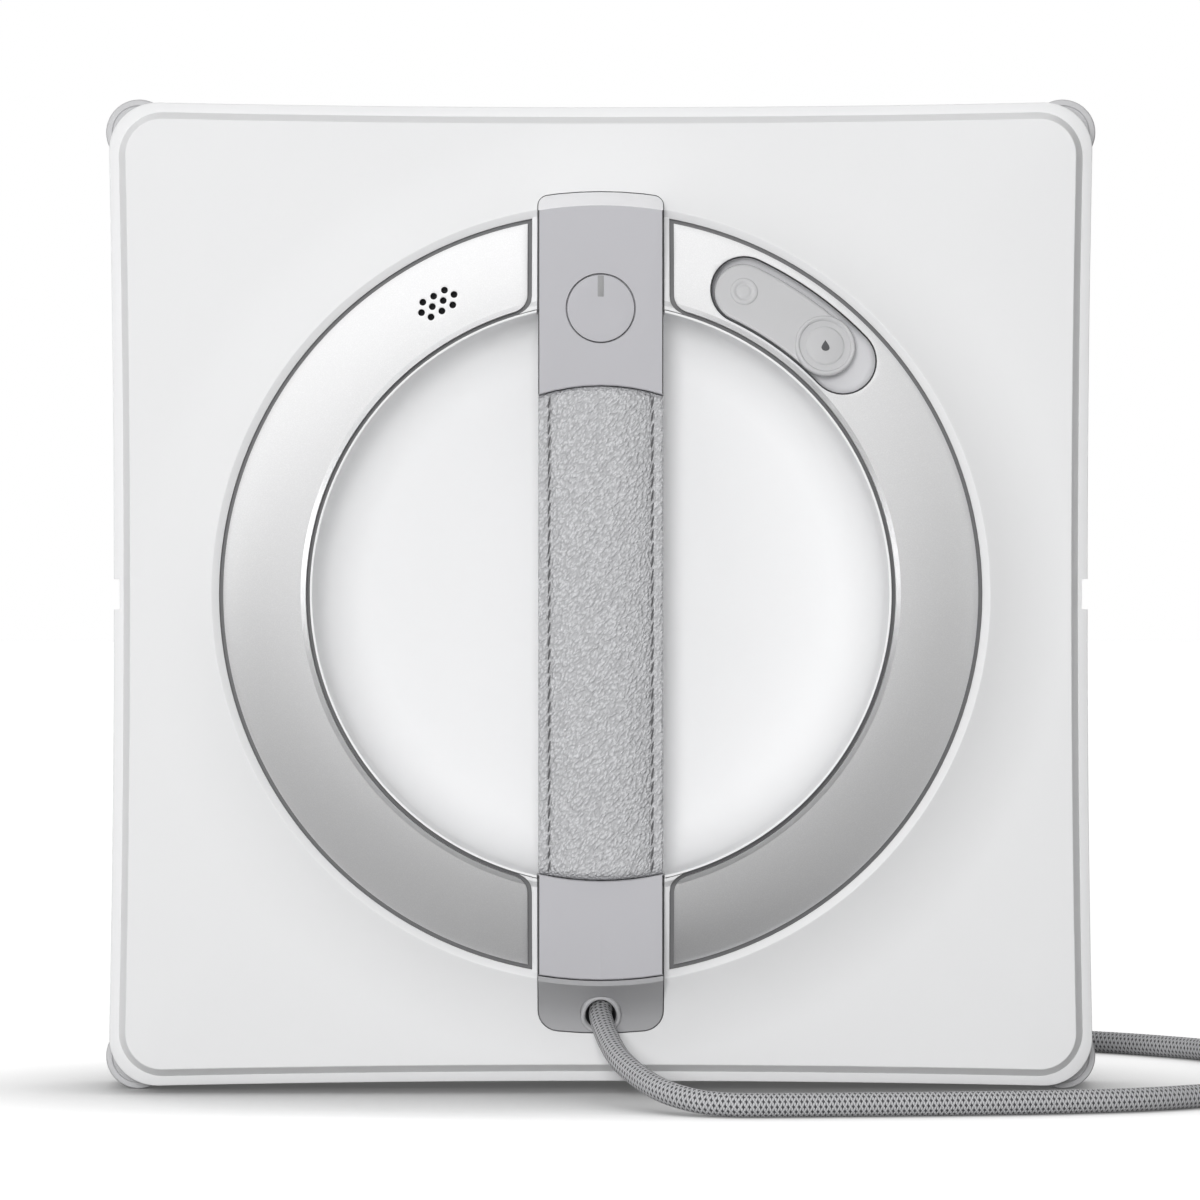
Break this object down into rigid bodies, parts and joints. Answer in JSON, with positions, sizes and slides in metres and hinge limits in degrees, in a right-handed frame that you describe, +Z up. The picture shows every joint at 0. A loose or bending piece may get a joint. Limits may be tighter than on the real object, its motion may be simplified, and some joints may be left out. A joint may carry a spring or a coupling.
{
  "type": "window-cleaning robot",
  "caption": "Square window-cleaning robot standing on its edge, with a leather carrying handle over a round hand bowl, silver ring trims, corner rollers, drive tracks and a tether cord.",
  "frame": {"origin": "middle of the robot's footprint, on the surface that it stands on", "axes": "+Z up as it stands on its lower rollers, -Y out of the face with the handle, +Y towards the glass side, +X to the right of someone facing the handle"},
  "size_m": [0.3311, 0.2414, 0.27],
  "materials": {
    "white_shell": "satin white moulding",
    "base_plastic": "fine matte moulding",
    "microfibre": "looped microfibre",
    "hook_tape": "hook tape",
    "silver_trim": "satin silver",
    "cap_grey": "satin grey",
    "outlet_grey": "satin mid grey",
    "tray_grey": "smooth grey",
    "grip_leather": "pebbled leather",
    "silicone": "translucent silicone",
    "dark_plastic": "dark moulding",
    "tank_clear": "clear tank",
    "steel": "turned steel",
    "cell_wrap": "shrink wrap",
    "circuit_board": "solder mask",
    "gear_plastic": "moulded gear plastic",
    "wheel_grey": "matte wheel plastic",
    "track_rubber": "ribbed rubber",
    "roller_grey": "soft grey tyre",
    "cord_braid": "braided sleeve",
    "tie_black": "hook and loop strap"
  },
  "bodies": {
    "chassis": {"base_plate": "base_plastic", "cleaning_pad": "microfibre", "pad_hook_strips": "hook_tape", "outer_frame": "white_shell", "top_cover": "white_shell", "hand_bowl": "white_shell", "trim_left": "silver_trim", "trim_right": "silver_trim", "handle_core": "dark_plastic", "handle_grip": "grip_leather", "handle_top_cap": "cap_grey", "handle_bottom_cap": "cap_grey", "cable_outlet_cover": "outlet_grey", "cable_grommet": "outlet_grey", "speaker": "dark_plastic", "filler_tray": "tray_grey", "filler_strap": "silicone", "water_tank": "tank_clear", "water_pump": "dark_plastic", "water_hoses": "silicone", "spray_nozzle_left": "outlet_grey", "spray_nozzle_right": "outlet_grey", "fan_housing": "dark_plastic", "fan_motor": "steel", "intake_grille": "outlet_grey", "battery_pack": "cell_wrap", "main_board": "circuit_board", "switch_board": "circuit_board", "drive_motor_left": "steel", "drive_motor_right": "steel", "drive_gearbox_left": "dark_plastic", "drive_gearbox_right": "dark_plastic", "idler_axles": "steel", "track_belt_left": "track_rubber", "track_belt_right": "track_rubber", "roller_pins": "steel", "edge_sensors": "dark_plastic", "housing_screws": "steel", "cord_run": "cord_braid", "cord_coil": "cord_braid", "cord_tail": "cord_braid", "cord_tie": "tie_black", "cord_connector": "dark_plastic"},
    "power_button": {"power_button": "cap_grey"},
    "filler_stopper": {"filler_stopper": "silicone"},
    "fan_impeller": {"fan_impeller": "dark_plastic"},
    "roller_top_left": {"roller_top_left": "roller_grey"},
    "roller_top_right": {"roller_top_right": "roller_grey"},
    "roller_bottom_left": {"roller_bottom_left": "roller_grey"},
    "roller_bottom_right": {"roller_bottom_right": "roller_grey"},
    "drive_wheel_left": {"drive_wheel_left": "wheel_grey", "drive_gear_left": "gear_plastic"},
    "drive_pinion_left": {"drive_pinion_left": "steel"},
    "idler_wheel_left": {"idler_wheel_left": "wheel_grey"},
    "drive_wheel_right": {"drive_wheel_right": "wheel_grey", "drive_gear_right": "gear_plastic"},
    "drive_pinion_right": {"drive_pinion_right": "steel"},
    "idler_wheel_right": {"idler_wheel_right": "wheel_grey"}
  },
  "joints": [
    {"name": "button_press", "type": "slide", "parent": "chassis", "child": "power_button", "axis": [0, 1, 0], "range_m": [0, 0.0008], "stiffness_N_per_m": 1500},
    {"name": "stopper_lift", "type": "hinge", "parent": "chassis", "child": "filler_stopper", "pos_m": [0.04634, -0.02677, 0.21122], "axis": [-0.5195, 0, -0.8545], "range_deg": [0, 90]},
    {"name": "fan_spin", "type": "hinge", "parent": "chassis", "child": "fan_impeller", "pos_m": [0, 0.019, 0.135], "axis": [0, 1, 0], "continuous": true},
    {"name": "roller_top_left_spin", "type": "hinge", "parent": "chassis", "child": "roller_top_left", "pos_m": [-0.126, 0.0136, 0.261], "axis": [0, 1, 0], "continuous": true},
    {"name": "roller_top_right_spin", "type": "hinge", "parent": "chassis", "child": "roller_top_right", "pos_m": [0.126, 0.0136, 0.261], "axis": [0, 1, 0], "continuous": true},
    {"name": "roller_bottom_left_spin", "type": "hinge", "parent": "chassis", "child": "roller_bottom_left", "pos_m": [-0.126, 0.0136, 0.009], "axis": [0, 1, 0], "continuous": true},
    {"name": "roller_bottom_right_spin", "type": "hinge", "parent": "chassis", "child": "roller_bottom_right", "pos_m": [0.126, 0.0136, 0.009], "axis": [0, 1, 0], "continuous": true},
    {"name": "drive_wheel_left_spin", "type": "hinge", "parent": "chassis", "child": "drive_wheel_left", "pos_m": [-0.075, 0.0214, 0.075], "axis": [1, 0, 0], "continuous": true},
    {"name": "drive_pinion_left_spin", "type": "hinge", "parent": "chassis", "child": "drive_pinion_left", "pos_m": [-0.0565, 0.01178, 0.06538], "axis": [1, 0, 0], "continuous": true},
    {"name": "idler_wheel_left_spin", "type": "hinge", "parent": "chassis", "child": "idler_wheel_left", "pos_m": [-0.075, 0.0214, 0.195], "axis": [1, 0, 0], "continuous": true},
    {"name": "drive_wheel_right_spin", "type": "hinge", "parent": "chassis", "child": "drive_wheel_right", "pos_m": [0.075, 0.0214, 0.075], "axis": [1, 0, 0], "continuous": true},
    {"name": "drive_pinion_right_spin", "type": "hinge", "parent": "chassis", "child": "drive_pinion_right", "pos_m": [0.0565, 0.01178, 0.06538], "axis": [1, 0, 0], "continuous": true},
    {"name": "idler_wheel_right_spin", "type": "hinge", "parent": "chassis", "child": "idler_wheel_right", "pos_m": [0.075, 0.0214, 0.195], "axis": [1, 0, 0], "continuous": true}
  ],
  "couplings": [
    {"joint": "drive_pinion_left_spin", "follows": "drive_wheel_left_spin", "ratio": -2.4},
    {"joint": "idler_wheel_left_spin", "follows": "drive_wheel_left_spin", "ratio": 1},
    {"joint": "drive_pinion_right_spin", "follows": "drive_wheel_right_spin", "ratio": -2.4},
    {"joint": "idler_wheel_right_spin", "follows": "drive_wheel_right_spin", "ratio": 1}
  ]
}
